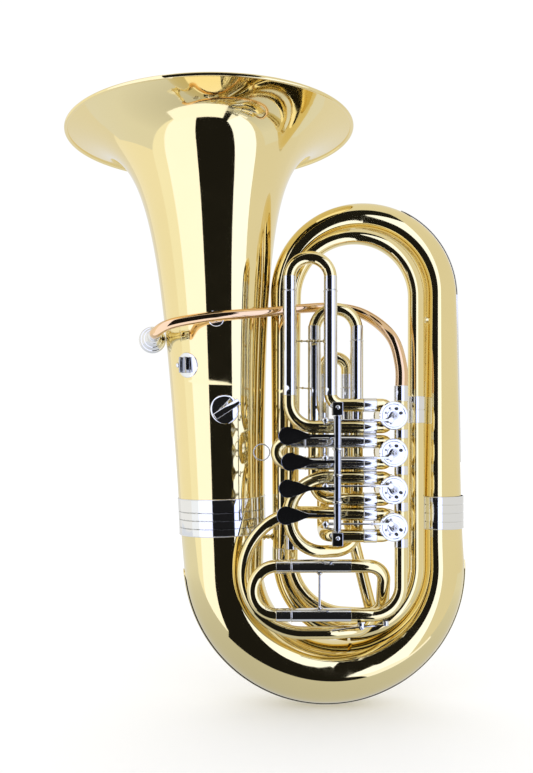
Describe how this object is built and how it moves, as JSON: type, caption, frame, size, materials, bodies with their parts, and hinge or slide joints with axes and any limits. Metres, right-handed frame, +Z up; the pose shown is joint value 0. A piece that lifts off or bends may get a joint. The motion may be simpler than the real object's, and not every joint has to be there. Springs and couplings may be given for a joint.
{
  "type": "tuba",
  "caption": "Upright rotary-valve tuba in lacquered brass with a flared bell, coiled tubing, finger paddles and nickel-silver slides and guards.",
  "frame": {"origin": "on the ground under the middle of the instrument's outer box, bell upwards", "axes": "+Z up, along the height; +X from the bell towards the valves' side; +Y towards the player, where the mouthpiece points"},
  "size_m": [0.6306, 0.453, 0.912],
  "materials": {
    "lacquered_brass": "polished and clear-lacquered yellow brass",
    "gold_brass": "polished gold brass, a redder alloy",
    "nickel_silver": "polished nickel silver, slightly warm",
    "chrome": "polished chrome plate",
    "valve_steel": "satin metal"
  },
  "bodies": {
    "body": {"bell": "lacquered_brass", "bottom_bow": "lacquered_brass", "bottom_bow_guard": "lacquered_brass", "outer_branch": "lacquered_brass", "inner_bow": "lacquered_brass", "inner_branch": "lacquered_brass", "return_tube": "lacquered_brass", "main_lower_tube": "lacquered_brass", "valve_casing_1": "lacquered_brass", "valve_1_upper_tube": "lacquered_brass", "valve_1_lower_tube": "lacquered_brass", "bearing_plate_1": "nickel_silver", "valve_back_cap_1": "nickel_silver", "valve_casing_2": "lacquered_brass", "valve_2_upper_tube": "lacquered_brass", "valve_2_lower_tube": "lacquered_brass", "bearing_plate_2": "nickel_silver", "valve_back_cap_2": "nickel_silver", "valve_casing_3": "lacquered_brass", "valve_3_upper_tube": "lacquered_brass", "valve_3_lower_tube": "lacquered_brass", "bearing_plate_3": "nickel_silver", "valve_back_cap_3": "nickel_silver", "valve_casing_4": "lacquered_brass", "valve_4_upper_tube": "lacquered_brass", "valve_4_lower_tube": "lacquered_brass", "bearing_plate_4": "nickel_silver", "valve_back_cap_4": "nickel_silver", "bell_ferrule": "nickel_silver", "bow_ferrule": "nickel_silver", "top_bow_guard": "nickel_silver", "mouthpiece_receiver": "nickel_silver", "lyre_holder": "nickel_silver", "thumb_rest": "nickel_silver", "leadpipe_brace": "nickel_silver", "leadpipe": "gold_brass", "lever_axle": "valve_steel", "lever_bracket_top": "chrome", "lever_bracket_bottom": "chrome"},
    "paddle_1": {"paddle_1": "chrome"},
    "link_rod_1": {"link_rod_1": "valve_steel"},
    "rotor_1": {"rotor_1": "valve_steel"},
    "paddle_2": {"paddle_2": "chrome"},
    "link_rod_2": {"link_rod_2": "valve_steel"},
    "rotor_2": {"rotor_2": "valve_steel"},
    "paddle_3": {"paddle_3": "chrome"},
    "link_rod_3": {"link_rod_3": "valve_steel"},
    "rotor_3": {"rotor_3": "valve_steel"},
    "paddle_4": {"paddle_4": "chrome"},
    "link_rod_4": {"link_rod_4": "valve_steel"},
    "rotor_4": {"rotor_4": "valve_steel"},
    "slide_1": {"slide_1": "nickel_silver"},
    "slide_2": {"slide_2": "nickel_silver", "slide_2_ring": "nickel_silver"},
    "slide_3": {"slide_3": "nickel_silver"},
    "slide_4": {"slide_4": "nickel_silver"},
    "main_slide": {"main_slide": "nickel_silver"},
    "mouthpiece": {"mouthpiece": "nickel_silver"},
    "lyre_screw": {"lyre_screw": "nickel_silver"},
    "water_key": {"water_key": "nickel_silver"}
  },
  "joints": [
    {"name": "paddle_1_press", "type": "hinge", "parent": "body", "child": "paddle_1", "pos_m": [0.0973, -0.18, 0.4258], "axis": [0, 0, -1], "range_deg": [0, 21.5], "stiffness_Nm_per_rad": 0.35, "springref_deg": -8.59},
    {"name": "link_rod_1_swing", "type": "hinge", "parent": "paddle_1", "child": "link_rod_1", "pos_m": [0.0832, -0.1469, 0.4479], "axis": [0, 0, 1], "range_deg": [0, 20]},
    {"name": "rotor_1_turn", "type": "hinge", "parent": "body", "child": "rotor_1", "pos_m": [0.1823, -0.1, 0.4546], "axis": [0, -1, 0], "range_deg": [0, 90]},
    {"name": "paddle_2_press", "type": "hinge", "parent": "body", "child": "paddle_2", "pos_m": [0.0973, -0.18, 0.3904], "axis": [0, 0, -1], "range_deg": [0, 21.5], "stiffness_Nm_per_rad": 0.35, "springref_deg": -8.59},
    {"name": "link_rod_2_swing", "type": "hinge", "parent": "paddle_2", "child": "link_rod_2", "pos_m": [0.0832, -0.1469, 0.3946], "axis": [0, 0, 1], "range_deg": [0, 20]},
    {"name": "rotor_2_turn", "type": "hinge", "parent": "body", "child": "rotor_2", "pos_m": [0.1823, -0.1, 0.4013], "axis": [0, -1, 0], "range_deg": [0, 90]},
    {"name": "paddle_3_press", "type": "hinge", "parent": "body", "child": "paddle_3", "pos_m": [0.0973, -0.18, 0.3538], "axis": [0, 0, -1], "range_deg": [0, 21.5], "stiffness_Nm_per_rad": 0.35, "springref_deg": -8.59},
    {"name": "link_rod_3_swing", "type": "hinge", "parent": "paddle_3", "child": "link_rod_3", "pos_m": [0.0832, -0.1469, 0.3547], "axis": [0, 0, 1], "range_deg": [0, 20]},
    {"name": "rotor_3_turn", "type": "hinge", "parent": "body", "child": "rotor_3", "pos_m": [0.1823, -0.1, 0.348], "axis": [0, 1, 0], "range_deg": [0, 90]},
    {"name": "paddle_4_press", "type": "hinge", "parent": "body", "child": "paddle_4", "pos_m": [0.0973, -0.18, 0.3169], "axis": [0, 0, -1], "range_deg": [0, 21.5], "stiffness_Nm_per_rad": 0.35, "springref_deg": -8.59},
    {"name": "link_rod_4_swing", "type": "hinge", "parent": "paddle_4", "child": "link_rod_4", "pos_m": [0.0832, -0.1469, 0.3014], "axis": [0, 0, 1], "range_deg": [0, 20]},
    {"name": "rotor_4_turn", "type": "hinge", "parent": "body", "child": "rotor_4", "pos_m": [0.1823, -0.1, 0.2947], "axis": [0, 1, 0], "range_deg": [0, 90]},
    {"name": "slide_1_pull", "type": "slide", "parent": "body", "child": "slide_1", "axis": [0, 0, 1], "range_m": [0, 0.1]},
    {"name": "slide_2_pull", "type": "slide", "parent": "body", "child": "slide_2", "axis": [-1, 0, 0], "range_m": [0, 0.04]},
    {"name": "slide_3_pull", "type": "slide", "parent": "body", "child": "slide_3", "axis": [0, 0, 1], "range_m": [0, 0.085]},
    {"name": "slide_4_pull", "type": "slide", "parent": "body", "child": "slide_4", "axis": [0, 0, 1], "range_m": [0, 0.045]},
    {"name": "main_slide_pull", "type": "slide", "parent": "body", "child": "main_slide", "axis": [-1, 0, 0], "range_m": [0, 0.06]},
    {"name": "mouthpiece_pull", "type": "slide", "parent": "body", "child": "mouthpiece", "axis": [-0.18, 0.9836, 0.0088], "range_m": [0, 0.03]},
    {"name": "lyre_screw_turn", "type": "hinge", "parent": "body", "child": "lyre_screw", "pos_m": [-0.12449, -0.07134, 0.532], "axis": [-0.8356, 0.5494, 0], "continuous": true},
    {"name": "water_key_lift", "type": "hinge", "parent": "body", "child": "water_key", "pos_m": [0.1382, -0.1, 0.1455], "axis": [0, 1, 0], "range_deg": [0, 12], "stiffness_Nm_per_rad": 0.05, "springref_deg": -17.19}
  ],
  "couplings": [
    {"joint": "link_rod_1_swing", "follows": "paddle_1_press", "ratio": 0.918},
    {"joint": "rotor_1_turn", "follows": "paddle_1_press", "ratio": 4.186},
    {"joint": "link_rod_2_swing", "follows": "paddle_2_press", "ratio": 0.918},
    {"joint": "rotor_2_turn", "follows": "paddle_2_press", "ratio": 4.186},
    {"joint": "link_rod_3_swing", "follows": "paddle_3_press", "ratio": 0.918},
    {"joint": "rotor_3_turn", "follows": "paddle_3_press", "ratio": 4.186},
    {"joint": "link_rod_4_swing", "follows": "paddle_4_press", "ratio": 0.918},
    {"joint": "rotor_4_turn", "follows": "paddle_4_press", "ratio": 4.186}
  ]
}
